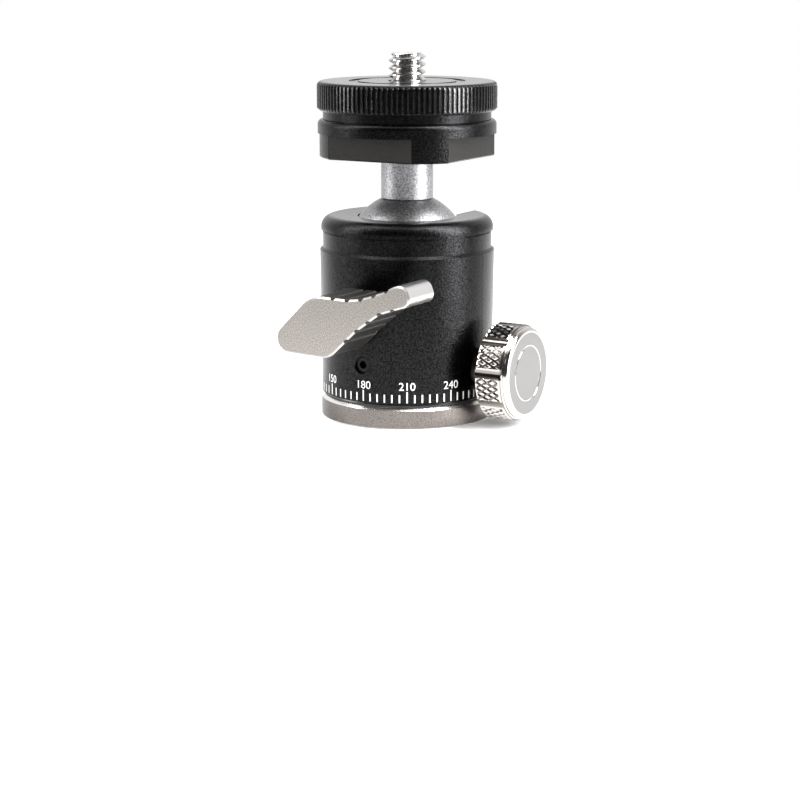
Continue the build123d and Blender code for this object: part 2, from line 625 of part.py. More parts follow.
with BuildPart() as pan_screw:
    with BuildSketch(PAN_ACROSS.offset(PAN_SCREW_END)):
        Circle(PAN_THREAD_R)
    extrude(amount=KNOB_NECK_END - CAP_SPIGOT_DEPTH - FACE_GAP - PAN_SCREW_END)

with BuildPart() as pan_brake_tip:
    brake_nose_at = SPINDLE_R - BRAKE_GROOVE_DEPTH + BRAKE_GROOVE_DEPTH * BRAKE_NOSE_R / BRAKE_GROOVE_HALF
    with BuildSketch(PAN_ALONG):
        with BuildLine():
            Polyline(
                (brake_nose_at + FACE_GAP, 0),
                (brake_nose_at + FACE_GAP, BRAKE_NOSE_R),
                (SPINDLE_R + FACE_GAP, BRAKE_GROOVE_HALF),
                (SPINDLE_R + FACE_GAP, BRAKE_R),
                (PAN_SCREW_END - BRAKE_TRAVEL - FACE_GAP, BRAKE_R),
                (PAN_SCREW_END - BRAKE_TRAVEL - FACE_GAP, 0),
                close=True,
            )
        make_face()
    revolve(axis=PAN_AXIS)

# ---------------------------------------------------------------- ball and stem
with BuildPart() as ball:
    with BuildSketch(Plane.XZ):
        with BuildLine():
            ThreePointArc(
                (0, BALL_Z - BALL_R),
                (BALL_R, BALL_Z),
                (sphere_r(BALL_R, STEM_FOOT_Z), STEM_FOOT_Z),
            )
            Polyline(
                (sphere_r(BALL_R, STEM_FOOT_Z), STEM_FOOT_Z),
                (STEM_SPIGOT_R + THREAD_GAP, STEM_FOOT_Z),
                (STEM_SPIGOT_R + THREAD_GAP, STEM_FOOT_Z - STEM_SPIGOT_DOWN - FACE_GAP),
                (0, STEM_FOOT_Z - STEM_SPIGOT_DOWN - FACE_GAP),
                (0, BALL_Z - BALL_R),
            )
        make_face()
    revolve(axis=Axis.Z)

with BuildPart() as stem:
    with BuildSketch(Plane.XZ):
        with BuildLine():
            Polyline(
                (0, STEM_FOOT_Z - STEM_SPIGOT_DOWN),
                (STEM_SPIGOT_R, STEM_FOOT_Z - STEM_SPIGOT_DOWN),
                (STEM_SPIGOT_R, STEM_FOOT_Z + FACE_GAP),
                (STEM_R - STEM_CHAMFER, STEM_FOOT_Z + FACE_GAP),
                (STEM_R, STEM_FOOT_Z + FACE_GAP + STEM_CHAMFER),
                (STEM_R, PLATFORM_Z),
                (STEM_SPIGOT_R, PLATFORM_Z),
                (STEM_SPIGOT_R, PLATFORM_Z + STEM_SPIGOT_UP),
                (0, PLATFORM_Z + STEM_SPIGOT_UP),
                close=True,
            )
        make_face()
    revolve(axis=Axis.Z)

# ---------------------------------------------------------------- camera platform
with BuildPart() as platform:
    # turned block with four milled flats
    with BuildSketch(Plane.XY.offset(PLATFORM_Z)):
        Circle(BLOCK_R)
        Rectangle(2 * BLOCK_HALF, 2 * BLOCK_HALF, mode=Mode.INTERSECT)
    extrude(amount=BLOCK_H)
    chamfer(platform.edges().group_by(Axis.Z)[0], EDGE_BREAK)
    # turned flange, rounded on top
    with BuildSketch(Plane.XY.offset(FLANGE_Z)):
        Circle(FLANGE_R)
    extrude(amount=FLANGE_H)
    fillet(platform.edges().group_by(Axis.Z)[-1], FLANGE_EDGE_R)
    # stud hole from above, stem hole from below; they meet at the stud's foot
    with BuildSketch(Plane.XY.offset(PLATFORM_TOP_Z)):
        Circle(TRIPOD_THREAD_R + THREAD_GAP)
    extrude(amount=-(PLATFORM_TOP_Z - STUD_FOOT_Z), mode=Mode.SUBTRACT)
    with BuildSketch(Plane.XY.offset(PLATFORM_Z)):
        Circle(STEM_SPIGOT_R + THREAD_GAP)
    extrude(amount=STUD_FOOT_Z - PLATFORM_Z, mode=Mode.SUBTRACT)

with BuildPart() as camera_stud:
    with BuildSketch(Plane.XZ):
        with BuildLine():
            Polyline(
                (0, STUD_FOOT_Z),
                (TRIPOD_THREAD_R, STUD_FOOT_Z),
                (TRIPOD_THREAD_R, STUD_TOP_Z - STUD_CHAMFER),
                (TRIPOD_THREAD_R - STUD_CHAMFER, STUD_TOP_Z),
                (0, STUD_TOP_Z),
                close=True,
            )
        make_face()
    revolve(axis=Axis.Z)

with BuildPart() as lock_disc:
    with BuildSketch(Plane.XZ):
        with BuildLine():
            bore = TRIPOD_THREAD_R + RUN_GAP
            Polyline(
                (bore, DISC_FOOT_Z),
                (DISC_HUB_R, DISC_FOOT_Z),
                (DISC_HUB_R, DISC_BAND_Z),
                (DISC_R - DISC_FOOT_CHAMFER, DISC_BAND_Z),
                (DISC_R, DISC_BAND_Z + DISC_FOOT_CHAMFER),
                (DISC_R, DISC_TOP_Z - DISC_EDGE_R),
            )
            RadiusArc(
                (DISC_R, DISC_TOP_Z - DISC_EDGE_R),
                (DISC_R - DISC_EDGE_R, DISC_TOP_Z),
                -DISC_EDGE_R,
            )
            Polyline(
                (DISC_R - DISC_EDGE_R, DISC_TOP_Z),
                (DISC_RING_OUT, DISC_TOP_Z),
                (DISC_RING_OUT, DISC_TOP_Z - DISC_RING_DEPTH),
                (DISC_RING_IN, DISC_TOP_Z - DISC_RING_DEPTH),
                (DISC_RING_IN, DISC_TOP_Z),
                (bore, DISC_TOP_Z),
                (bore, DISC_FOOT_Z),
            )
        make_face()
    revolve(axis=Axis.Z)
    # straight grip ribs: V grooves all round the upright part of the band
    with BuildSketch(Plane.XY.offset(DISC_BAND_Z + DISC_FOOT_CHAMFER)):
        with PolarLocations(DISC_R, DISC_RIBS):
            Rectangle(DISC_RIB_DEPTH * sqrt(2), DISC_RIB_DEPTH * sqrt(2), rotation=45)
    extrude(amount=DISC_BAND_H - DISC_FOOT_CHAMFER - DISC_EDGE_R, mode=Mode.SUBTRACT)

# ---------------------------------------------------------------- export
PIECES = {
    "pan_base": pan_base,
    "base_thread_bush": base_thread_bush,
    "pan_retaining_washer": pan_retaining_washer,
    "pan_retaining_screw": pan_retaining_screw,
    "housing": housing,
    "housing_floor": housing_floor,
    "floor_grub_screw": floor_grub_screw,
    "pan_bearing_washer": pan_bearing_washer,
    "pan_top_washer": pan_top_washer,
    "ball_seat_ring": ball_seat_ring,
    "cup_spring": cup_spring,
    "ball_cup": ball_cup,
    "lock_screw": lock_screw,
    "lock_lever": lock_lever,
    "lever_washer": lever_washer,
    "pan_knob": pan_knob,
    "pan_knob_cap": pan_knob_cap,
    "pan_screw": pan_screw,
    "pan_brake_tip": pan_brake_tip,
    "ball": ball,
    "stem": stem,
    "platform": platform,
    "camera_stud": camera_stud,
    "lock_disc": lock_disc,
}

for name, piece in PIECES.items():
    piece.part.label = name
    export_step(piece.part, f"parts/{name}.step")
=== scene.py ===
# %% [markdown]
# # A miniature tripod ball head
#
# This lesson dresses a small camera support: a silver ball held in a black turned housing, a
# lever that locks the ball, a knob that locks the panning, and a platform with a threaded stud
# on top. The solids come from the CAD model. Here they get their finishes, and the pieces with
# fine detail, such as the thread and the knurling, are modelled again in Blender.

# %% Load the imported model
import bmesh
import bpy
from math import acos, atan2, cos, hypot, pi, radians, sin, sqrt
from mathutils import Matrix, Vector


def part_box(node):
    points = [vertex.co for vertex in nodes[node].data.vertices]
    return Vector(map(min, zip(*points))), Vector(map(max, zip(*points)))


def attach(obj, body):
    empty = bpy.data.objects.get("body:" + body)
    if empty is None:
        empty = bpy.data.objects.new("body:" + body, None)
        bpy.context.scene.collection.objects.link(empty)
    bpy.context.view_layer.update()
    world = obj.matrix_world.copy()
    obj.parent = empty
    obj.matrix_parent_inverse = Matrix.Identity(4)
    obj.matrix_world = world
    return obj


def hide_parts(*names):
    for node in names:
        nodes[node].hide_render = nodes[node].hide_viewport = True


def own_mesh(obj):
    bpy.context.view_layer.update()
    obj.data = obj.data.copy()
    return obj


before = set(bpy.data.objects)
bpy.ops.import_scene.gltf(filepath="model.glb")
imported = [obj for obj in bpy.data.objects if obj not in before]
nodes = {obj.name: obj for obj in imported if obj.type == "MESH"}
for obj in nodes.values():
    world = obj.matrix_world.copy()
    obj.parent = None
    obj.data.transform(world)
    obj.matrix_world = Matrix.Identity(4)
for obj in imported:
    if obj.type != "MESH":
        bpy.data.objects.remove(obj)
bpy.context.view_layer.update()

MM = 0.001
print("solids loaded:", len(nodes))

# %% [markdown]
# ## The camera
#
# A long lens from a little above keeps the turned rims close to ellipses of one width. The
# camera could be placed by eye. Here its place is written as an angle round the object, an
# angle above the floor and a distance, because those three are easy to change one at a time.
# The lamps are placed in the same way further down, so the two steps are helpers.

# %% Camera
VIEW_AROUND = radians(30.0)  # from the lever's side towards the knob's
VIEW_ABOVE = radians(11.97)
VIEW_DISTANCE = 376.1 * MM
VIEW_AIM = Vector((0, 0, 2.06 * MM))


def direction(around, above):
    """Unit vector at an angle round Z, from -Y towards +X, and an angle above the floor."""
    return Vector((sin(around) * cos(above), -cos(around) * cos(above), sin(above)))


def place_facing(item, target, toward, distance):
    """Put a camera or a lamp at a distance from its target, and turn it to look back."""
    item.location = target + toward * distance
    item.rotation_euler = (-toward).to_track_quat("-Z", "Y").to_euler()
    bpy.context.scene.collection.objects.link(item)


camera_data = bpy.data.cameras.new("camera")
camera_data.lens = 96.98
camera_data.sensor_width = 36.0
camera_data.shift_x = -0.0089
camera_data.clip_start = 0.01
camera = bpy.data.objects.new("camera", camera_data)
place_facing(camera, VIEW_AIM, direction(VIEW_AROUND, VIEW_ABOVE), VIEW_DISTANCE)
bpy.context.scene.camera = camera
bpy.context.scene.view_settings.view_transform = "Standard"
print("camera at", [round(v / MM, 1) for v in camera.location], "mm")

# %% [markdown]
# ## Finishes
#
# A material is a small graph of nodes. Each finish starts as one Principled shader with a
# colour, a share of metal and a roughness, and more nodes are joined to it from there. The
# graph could be drawn in the shader editor. Written out, it can be read, compared and reused.


# %% Start a material
def add_node(tree, kind, inputs=None, **settings):
    """A node of that kind, with its properties and the start values of its inputs."""
    node = tree.nodes.new(kind)
    for name, value in settings.items():
        setattr(node, name, value)
    for name, value in (inputs or {}).items():
        node.inputs[name].default_value = value
    return node


def new_material(name, colour, metallic, roughness):
    """A material with only a Principled shader, and that shader."""
    material = bpy.data.materials.new(name)
    material.use_nodes = True
    shader = material.node_tree.nodes["Principled BSDF"]
    shader.inputs["Base Color"].default_value = (*colour, 1)
    shader.inputs["Metallic"].default_value = metallic
    shader.inputs["Roughness"].default_value = roughness
    material.diffuse_color = (*colour, 1)
    return material, shader


def tell(material):
    """Print how large a material's graph has become."""
    print(material.name + ":", len(material.node_tree.nodes), "nodes")


# %% [markdown]
# The ball and its stem are aluminium blasted with fine sand, which leaves a skin of tiny
# grains. Dents of that size would need millions of faces, so a noise texture tilts the light
# instead, and the same noise runs the colour of the grains from dark to light. It is laid out
# on Object coordinates, so the grains stay on the metal when a part moves.

# %% Blasted silver
NOISE_DARK, NOISE_LIGHT = 0.35, 0.65  # values of the noise where each colour is reached


def grain(material, shader, size, height, detail=1.0):
    """Fine bumps of about that size and height in millimetres."""
    tree = material.node_tree
    place = add_node(tree, "ShaderNodeTexCoord")
    noise = add_node(tree, "ShaderNodeTexNoise", {"Scale": 1 / (size * MM), "Detail": detail})
    bump = add_node(tree, "ShaderNodeBump", {"Strength": 1.0, "Distance": height * MM})
    tree.links.new(place.outputs["Object"], noise.inputs["Vector"])
    tree.links.new(noise.outputs["Fac"], bump.inputs["Height"])
    tree.links.new(bump.outputs["Normal"], shader.inputs["Normal"])
    return noise


def speckle(material, shader, noise, dark, light):
    """Colour that runs from dark to light with the same grain that makes the bumps."""
    tree = material.node_tree
    ramp = add_node(tree, "ShaderNodeValToRGB")
    low, high = ramp.color_ramp.elements
    low.position, low.color = NOISE_DARK, (*dark, 1)
    high.position, high.color = NOISE_LIGHT, (*light, 1)
    tree.links.new(noise.outputs["Fac"], ramp.inputs["Fac"])
    tree.links.new(ramp.outputs["Color"], shader.inputs["Base Color"])


def blasted_metal(name, colour, roughness, size, height, dark, light):
    """Metal whose grains stand up as bumps and run from a dark colour to a light one."""
    material, shader = new_material(name, colour, 1.0, roughness)
    noise = grain(material, shader, size, height, detail=2.0)
    speckle(material, shader, noise, dark, light)
    return material, shader


blasted, _ = blasted_metal(
    "blasted_silver",
    colour=(0.31, 0.31, 0.32),
    roughness=0.42,
    size=0.28,
    height=0.035,
    dark=(0.19, 0.19, 0.2),
    light=(0.45, 0.45, 0.46),
)
tell(blasted)

# %% [markdown]
# Some faces of a solid have a finish of their own, such as a top that was turned smooth after
# blasting. The mesh could be split there, but the solids stay as the CAD model made them. So a
# mask inside the material finds the faces by how far their true normal leans, and repaints
# them. The normal is taken in the object's own directions, so the masks turn with the part.

# %% Masks by slope
MIX_COLOURS = ("RGBA", 6, 7, 2)  # type of a Mix node, and where its A, B and result are
MIX_VALUES = ("FLOAT", 2, 3, 0)


def face_slopes(material):
    """How far the true normal leans along the object's own X, Y and Z, as sizes from 0 to 1."""
    tree = material.node_tree
    geometry = add_node(tree, "ShaderNodeNewGeometry")
    own = add_node(
        tree,
        "ShaderNodeVectorTransform",
        vector_type="NORMAL",
        convert_from="WORLD",
        convert_to="OBJECT",
    )
    size = add_node(tree, "ShaderNodeVectorMath", operation="ABSOLUTE")
    split = add_node(tree, "ShaderNodeSeparateXYZ")
    tree.links.new(geometry.outputs["True Normal"], own.inputs["Vector"])
    tree.links.new(own.outputs["Vector"], size.inputs[0])
    tree.links.new(size.outputs["Vector"], split.inputs["Vector"])
    return split.outputs["X"], split.outputs["Y"], split.outputs["Z"]


def fading(material, value, full, none):
    """A mask that fades from 1 where a value is at full to 0 where it is at none."""
    tree = material.node_tree
    ramp = add_node(tree, "ShaderNodeMapRange", {"From Min": none, "From Max": full})
    tree.links.new(value, ramp.inputs["Value"])
    return ramp.outputs["Result"]


def repaint(material, shader, mask, **changes):
    """Where the mask is 1, give some of a shader's sockets other values."""
    tree = material.node_tree
    for name, value in changes.items():
        socket = shader.inputs[name.replace("_", " ")]
        colour = isinstance(value, tuple)
        kind, first, second, out = MIX_COLOURS if colour else MIX_VALUES
        mix = add_node(tree, "ShaderNodeMix", data_type=kind)
        mix.inputs[second].default_value = (*value, 1) if colour else value
        if socket.is_linked:
            tree.links.new(socket.links[0].from_socket, mix.inputs[first])
        else:
            mix.inputs[first].default_value = socket.default_value
        tree.links.new(mask, mix.inputs["Factor"])
        tree.links.new(mix.outputs[out], socket)


# %% [markdown]
# Most of the head is black anodised aluminium, blasted first. A plain black plastic shader
# would look dull. A metal shader with an almost black colour reflects little face on and much
# at a glancing angle, which is what gives turned black metal its bright rims. Its grains are
# bumps more than specks of colour, so they sparkle only where a lamp is mirrored. Faces that
# look straight up were turned smooth, and a mask gives those a lower roughness and a lighter
# colour. The lighter colour is a painted reflection of the bright room, which these tops
# mirror at a glancing angle.

# %% Black anodised aluminium
TOP_FULL, TOP_NONE = 0.995, 0.9  # lean along Z of a face that is a top, and of one that isn't


def black_finish(name, top_reflection_colour):
    """Blasted black metal with smoother faces on top, painted lighter there as a painted
    reflection, ready for more masks.
    """
    material, shader = blasted_metal(
        name,
        colour=(0.015, 0.015, 0.0155),
        roughness=0.3,
        size=0.28,
        height=0.05,
        dark=(0.006, 0.006, 0.0064),
        light=(0.022, 0.022, 0.0225),
    )
    top = fading(material, face_slopes(material)[2], TOP_FULL, TOP_NONE)
    # painted reflection: the tops get a lighter colour that stands in for the bright room they
    # mirror at a glancing angle; only the lower roughness is their real smoother turning
    repaint(material, shader, top, Base_Color=(top_reflection_colour,) * 3, Roughness=0.24)
    return material, shader


# the last number is the painted reflection colour of the housing's top faces
black, _ = black_finish("black_anodised", 0.12)
tell(black)

# %% [markdown]
# The platform's four flats were milled after blasting, so they are smooth and a little
# lighter. Two masks find them: below the flange, and square to X or to Y. Multiplied, they
# leave only the faces where both are 1.

# %% Black platform
FLANGE_FOOT = 48.63 * MM
SQUARE_ON = 0.998  # least lean of a flat's normal along X or Y
ABOVE_ONE = 1.1  # past the greatest lean there is


def distance_along(material, way):
    """How far a point lies from the origin along a direction."""
    tree = material.node_tree
    place = add_node(tree, "ShaderNodeTexCoord")
    dot = add_node(tree, "ShaderNodeVectorMath", operation="DOT_PRODUCT")
    dot.inputs[1].default_value = way
    tree.links.new(place.outputs["Object"], dot.inputs[0])
    return dot.outputs["Value"]


def between(material, value, low, high):
    """A mask that is 1 where a value lies between low and high."""
    tree = material.node_tree
    test = add_node(tree, "ShaderNodeMath", operation="COMPARE")
    test.inputs[1].default_value = (low + high) / 2
    test.inputs[2].default_value = (high - low) / 2
    tree.links.new(value, test.inputs[0])
    return test.outputs["Value"]


def both(material, first, second):
    """A mask that is 1 where two masks are."""
    tree = material.node_tree
    product = add_node(tree, "ShaderNodeMath", operation="MULTIPLY")
    tree.links.new(first, product.inputs[0])
    tree.links.new(second, product.inputs[1])
    return product.outputs["Value"]


# the last number is the painted reflection colour of the platform's top faces
platform_black, platform_shader = black_finish("black_platform", 0.05)
height = distance_along(platform_black, (0, 0, 1))
below_flange = between(platform_black, height, 0, FLANGE_FOOT)
for slope in face_slopes(platform_black)[:2]:
    square = between(platform_black, slope, SQUARE_ON, ABOVE_ONE)
    flats = both(platform_black, below_flange, square)
    repaint(
        platform_black,
        platform_shader,
        flats,
        Base_Color=(0.037, 0.036, 0.035),
        Roughness=0.55,
    )
tell(platform_black)

# %% [markdown]
# The crests of the lock disc's ribs are painted a little lighter than the grooves between
# them, a painted highlight for the glints the crests catch. The ribs are far too many to mask
# one by one. Their crests all lie at one distance from the axis, so one mask by distance finds
# them all.

# %% Black ribs
CREST_FULL, CREST_NONE = 15.26 * MM, 15.1 * MM  # distance from the axis


def distance_from(material, centre, across):
    """Distance of a point from a line through the centre; across is 0 along the line."""
    tree = material.node_tree
    place = add_node(tree, "ShaderNodeTexCoord")
    offset = add_node(tree, "ShaderNodeVectorMath", operation="SUBTRACT")
    offset.inputs[1].default_value = centre
    flat = add_node(tree, "ShaderNodeVectorMath", operation="MULTIPLY")
    flat.inputs[1].default_value = across
    length = add_node(tree, "ShaderNodeVectorMath", operation="LENGTH")
    tree.links.new(place.outputs["Object"], offset.inputs[0])
    tree.links.new(offset.outputs["Vector"], flat.inputs[0])
    tree.links.new(flat.outputs["Vector"], length.inputs[0])
    return length.outputs["Value"]


# the last number is the painted reflection colour of the disc's top faces
ribbed_black, ribbed_shader = black_finish("black_ribbed", 0.22)
rib_distance = distance_from(ribbed_black, (0, 0, 0), (1, 1, 0))
crest_highlight = fading(ribbed_black, rib_distance, CREST_FULL, CREST_NONE)
# painted highlight: lighter crests stand in for the glints that the rib tops catch
repaint(ribbed_black, ribbed_shader, crest_highlight, Base_Color=(0.06, 0.06, 0.061), Roughness=0.22)
tell(ribbed_black)

# %% [markdown]
# The lever is satin silver, with a warmer tint and a finer grain than the ball. Its narrow
# chamfers were cut after blasting and are bright. Its ridged sides are painted darker than its
# face, a painted reflection of the dark surroundings they mirror, and its nose is painted
# bright again, a painted highlight of the soft box on the right. The normal tells face,
# chamfers and sides apart, and the place along the lever tells the nose from the ridges.

# %% Satin silver
LEVER_LEAN = radians(20)
NOSE_FROM = 20.3 * MM  # along the lever, where the ridges end and the bright nose starts
SIDE_TO, CHAMFER_TO = 0.3, 0.93  # greatest lean along Y of a side and of a chamfer
BELOW_ZERO = -0.1  # short of the least lean there is
FAR = 1.0  # metres, past either end of the lever

satin, satin_shader = blasted_metal(
    "satin_silver",
    colour=(0.33, 0.31, 0.288),
    roughness=0.36,
    size=0.2,
    height=0.012,
    dark=(0.22, 0.205, 0.19),
    light=(0.40, 0.376, 0.35),
)
slope_out = face_slopes(satin)[1]
along_lever = distance_along(satin, (cos(LEVER_LEAN), 0, sin(LEVER_LEAN)))
edge_on = between(satin, slope_out, BELOW_ZERO, SIDE_TO)
painted_dark_sides = both(satin, edge_on, between(satin, along_lever, -FAR, NOSE_FROM))
painted_nose_highlight = both(satin, edge_on, between(satin, along_lever, NOSE_FROM, FAR))
chamfers = between(satin, slope_out, SIDE_TO, CHAMFER_TO)
# painted reflection: the ridged sides are darkened to stand in for the dark surroundings they
# mirror
repaint(satin, satin_shader, painted_dark_sides, Base_Color=(0.085, 0.082, 0.079), Roughness=0.4)
# painted highlight: the nose is lightened to stand in for the soft box it mirrors
repaint(satin, satin_shader, painted_nose_highlight, Base_Color=(0.62, 0.61, 0.6), Roughness=0.3)
repaint(satin, satin_shader, chamfers, Base_Color=(0.4, 0.385, 0.37), Roughness=0.35)
tell(satin)

# %% [markdown]
# The base ring has a champagne tint. A tinted lacquer could be layered over silver, but
# anodising colours the metal itself, so the tint goes into the metal's own colour. The
# chamfer round its top was cut last and is bare and bright.

# %% Champagne base ring
RING_CHAMFER_FROM, RING_CHAMFER_TO = 0.4, 0.93  # lean along Z

champagne, champagne_shader = blasted_metal(
    "champagne_base",
    colour=(0.17, 0.155, 0.145),
    roughness=0.3,
    size=0.2,
    height=0.014,
    dark=(0.12, 0.108, 0.1),
    light=(0.21, 0.19, 0.178),
)
slope_up = face_slopes(champagne)[2]
ring_chamfer = between(champagne, slope_up, RING_CHAMFER_FROM, RING_CHAMFER_TO)
repaint(
    champagne,
    champagne_shader,
    ring_chamfer,
    Base_Color=(0.85, 0.83, 0.8),
    Roughness=0.25,
)
tell(champagne)

# %% [markdown]
# The pan knob is nickel plated. Plating is smoother and brighter than blasted aluminium, so it
# has a lower roughness and only the faintest bumps. The plating is painted darker below the
# crests of the knurling, a painted shade in the grooves, and the hub near the housing is
# painted dark too, a painted shadow of the housing. Masks find both by their distance from the
# axis of the pan screw.

# %% Bright nickel
PAN_Z = 9.15  # height of the pan screw's axis
GROOVE_FULL, GROOVE_NONE = 8.02 * MM, 8.2 * MM  # distance from that axis
BAND_INSIDE, BAND_OUTSIDE = 7.9 * MM, 8.3 * MM
HUB_TO = 3.6 * MM

nickel, nickel_shader = new_material("bright_nickel", (0.60, 0.575, 0.55), 1.0, 0.13)
grain(nickel, nickel_shader, 0.5, 0.002)
knob_distance = distance_from(nickel, (0, 0, PAN_Z * MM), (0, 1, 1))
groove_shade = both(
    nickel,
    fading(nickel, knob_distance, GROOVE_FULL, GROOVE_NONE),
    between(nickel, knob_distance, BAND_INSIDE, BAND_OUTSIDE),
)
# painted shade: the knurling's grooves are darkened where shade falls
repaint(nickel, nickel_shader, groove_shade, Base_Color=(0.2, 0.18, 0.165))
hub_shadow = between(nickel, knob_distance, 0, HUB_TO)
# painted shadow: the hub is darkened where the housing shades it
repaint(nickel, nickel_shader, hub_shadow, Base_Color=(0.04, 0.038, 0.036), Roughness=0.4)
tell(nickel)

# %% [markdown]
# The other plated, turned, moulded and printed parts need no masks. They differ only in
# colour, in gloss and in the size of a faint grain, so a table holds the numbers and one loop
# makes the materials.

# %% Plain finishes
PLAIN = {  # colour, share of metal, roughness, grain size and height in millimetres
    "satin_nickel": ((0.195, 0.193, 0.189), 1.0, 0.22, 0.11, 0.004),
    "stud_steel": ((0.60, 0.59, 0.58), 1.0, 0.2, 0.3, 0.004),
    "zinc_steel": ((0.5, 0.5, 0.48), 1.0, 0.35, 0.3, 0.004),
    "plain_aluminium": ((0.62, 0.62, 0.63), 1.0, 0.3, 0.2, 0.004),
    "black_steel": ((0.02, 0.02, 0.02), 1.0, 0.42, 0.2, 0.006),
    "black_polymer": ((0.02, 0.02, 0.02), 0.0, 0.5, 0.3, 0.006),
    "white_polymer": ((0.75, 0.74, 0.7), 0.0, 0.4, 0.3, 0.006),
    "brass": ((0.6, 0.45, 0.18), 1.0, 0.3, 0.2, 0.004),
    "scale_paint": ((0.78, 0.78, 0.77), 0.0, 0.55, 0.1, 0.003),
}
finishes = {
    "blasted_silver": blasted,
    "black_anodised": black,
    "satin_silver": satin,
    "champagne_base": champagne,
    "bright_nickel": nickel,
}
for name, (colour, metallic, roughness, size, height) in PLAIN.items():
    finishes[name], shader = new_material(name, colour, metallic, roughness)
    grain(finishes[name], shader, size, height)
print("plain finishes:", len(PLAIN))

# %% [markdown]
# ## Dressing the solids
#
# Each CAD solid arrives with a stand-in material that is named after its finish. They could be
# dressed one by one, but with the names to go by, one loop does it and none is forgotten. Only
# the platform gets a black of its own, because of its milled flats.

# %% Dress the CAD nodes
for node in nodes.values():
    for holder in node.material_slots:
        holder.material = finishes[holder.material.name.split(".")[0]]
nodes["platform"].material_slots[0].material = platform_black
print("dressed:", len(nodes), "nodes from", len(finishes), "finishes")

# %% [markdown]
# ## Turned pieces
#
# On a lathe the metal spins and the tool draws half a cross-section. The same works here: a
# profile of radius and height pairs is spun round Z in a bmesh. A Screw modifier could do it
# too, but this way the number of steps is in hand, and later cuts can count on it.


# %% Draw and turn a profile
def draw_profile(bm, points, closed=True):
    """Edges through points given as (radius, height) in millimetres, in the XZ plane."""
    verts = [bm.verts.new((r * MM, 0, z * MM)) for r, z in points]
    pairs = list(zip(verts, verts[1:]))
    if closed:
        pairs.append((verts[-1], verts[0]))
    return verts + [bm.edges.new(pair) for pair in pairs]


def turn_profile(bm, geometry, steps, angle=2 * pi, rise=0.0):
    """Spin round Z; a rise in millimetres per turn makes a screw instead of a ring."""
    bmesh.ops.spin(
        bm,
        geom=geometry,
        cent=(0, 0, 0),
        axis=(0, 0, 1),
        dvec=(0, 0, rise * MM * angle / (2 * pi) / steps),
        angle=angle,
        steps=steps,
        use_merge=rise == 0.0,
    )


def even_steps(first, last, count):
    """Count equal steps from first to last, both ends in."""
    return [first + (last - first) * i / count for i in range(count + 1)]


def rounded(r, z, radius, first, last, count):
    """Points of an arc about (r, z), from the first angle to the last, in degrees."""
    turns = [radians(degrees) for degrees in even_steps(first, last, count)]
    return [(r + radius * cos(a), z + radius * sin(a)) for a in turns]


# %% [markdown]
# A finished piece is a closed skin that rides with a body of the CAD model, names its finish
# and takes the place of the solid that it draws again. One helper does this for every piece
# and counts the open edges, because a gap in a skin is hard to see and easy to count. Turned
# pieces are shaded smooth, so a second helper marks the edges that have to stay crisp.


# %% Finish a piece
def edge_uses(mesh):
    """How many faces meet at each edge; 2 everywhere means a closed skin."""
    counts = [0] * len(mesh.edges)
    for loop in mesh.loops:
        counts[loop.edge_index] += 1
    return counts


def make_piece(bm, name, body, materials, replaced=(), smooth=True):
    """Close and tidy a bmesh, and hang it on its body as a finished piece."""
    bmesh.ops.remove_doubles(bm, verts=bm.verts, dist=0.0005 * MM)
    bmesh.ops.recalc_face_normals(bm, faces=bm.faces)
    mesh = bpy.data.meshes.new(name)
    for face in bm.faces:
        face.smooth = smooth
    bm.to_mesh(mesh)
    bm.free()
    for material in materials:
        mesh.materials.append(material)
    piece = bpy.data.objects.new(name, mesh)
    bpy.context.scene.collection.objects.link(piece)
    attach(piece, body)
    if replaced:
        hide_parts(*replaced)
    open_edges = sum(1 for count in edge_uses(mesh) if count != 2)
    print(name + ":", len(mesh.polygons), "faces,", open_edges, "open edges")
    return piece


def sharpen(piece, degrees_apart):
    """Keep flat faces flat: mark edges between faces that meet at more than that angle."""
    mesh = piece.data
    bm = bmesh.new()
    bm.from_mesh(mesh)
    for edge in bm.edges:
        if len(edge.link_faces) == 2 and edge.calc_face_angle() > radians(degrees_apart):
            edge.smooth = False
    bm.to_mesh(mesh)
    bm.free()


# %% [markdown]
# ## The lock disc
#
# This black disc is run up the stud against the camera. Its rim is cut with fine straight
# ribs, so that fingers get a grip, and the ribs run out where the rim rounds over. A texture
# could fake the ribs, but then their ends would stay flat. Here a profile is spun in as many
# steps as the ribs need, and then the points between the ribs are pulled in.

# %% Ribbed lock disc
DISC_R, DISC_BORE_R, DISC_NECK_R = 15.3, 3.235, 14.3
DISC_FOOT, BAND_FOOT, BAND_TOP = 51.03, 52.43, 57.33
FOOT_CHAMFER, RIM_ROUND = 0.45, 0.85
RIBS_FROM, RIBS_TO = 53.2, 56.1  # rows of points between the chamfer and the round
RECESS_INSIDE, RECESS_OUTSIDE = 8.3, 9.9  # a shallow ring turned in the top
RECESS_DEPTH, RECESS_DRAFT = 0.2, 0.04
RIBS, RIB_DEPTH = 108, 0.26
RIB_FLOOR_R = DISC_R - RIB_DEPTH
STEPS_PER_RIB = 6  # two of ridge, one down, two of groove, one up
FIRST_LOW_STEP = 3


def radius_of(vert):
    """Distance of a vertex from Z, in millimetres."""
    return hypot(vert.co.x, vert.co.y) / MM


def angle_of(vert):
    """Angle of a vertex round Z, from 0 to a full turn."""
    return atan2(vert.co.y, vert.co.x) % (2 * pi)


def set_radius(vert, radius):
    """Move a vertex straight in or out, to a distance from Z in millimetres."""
    share = radius / radius_of(vert)
    vert.co.x *= share
    vert.co.y *= share


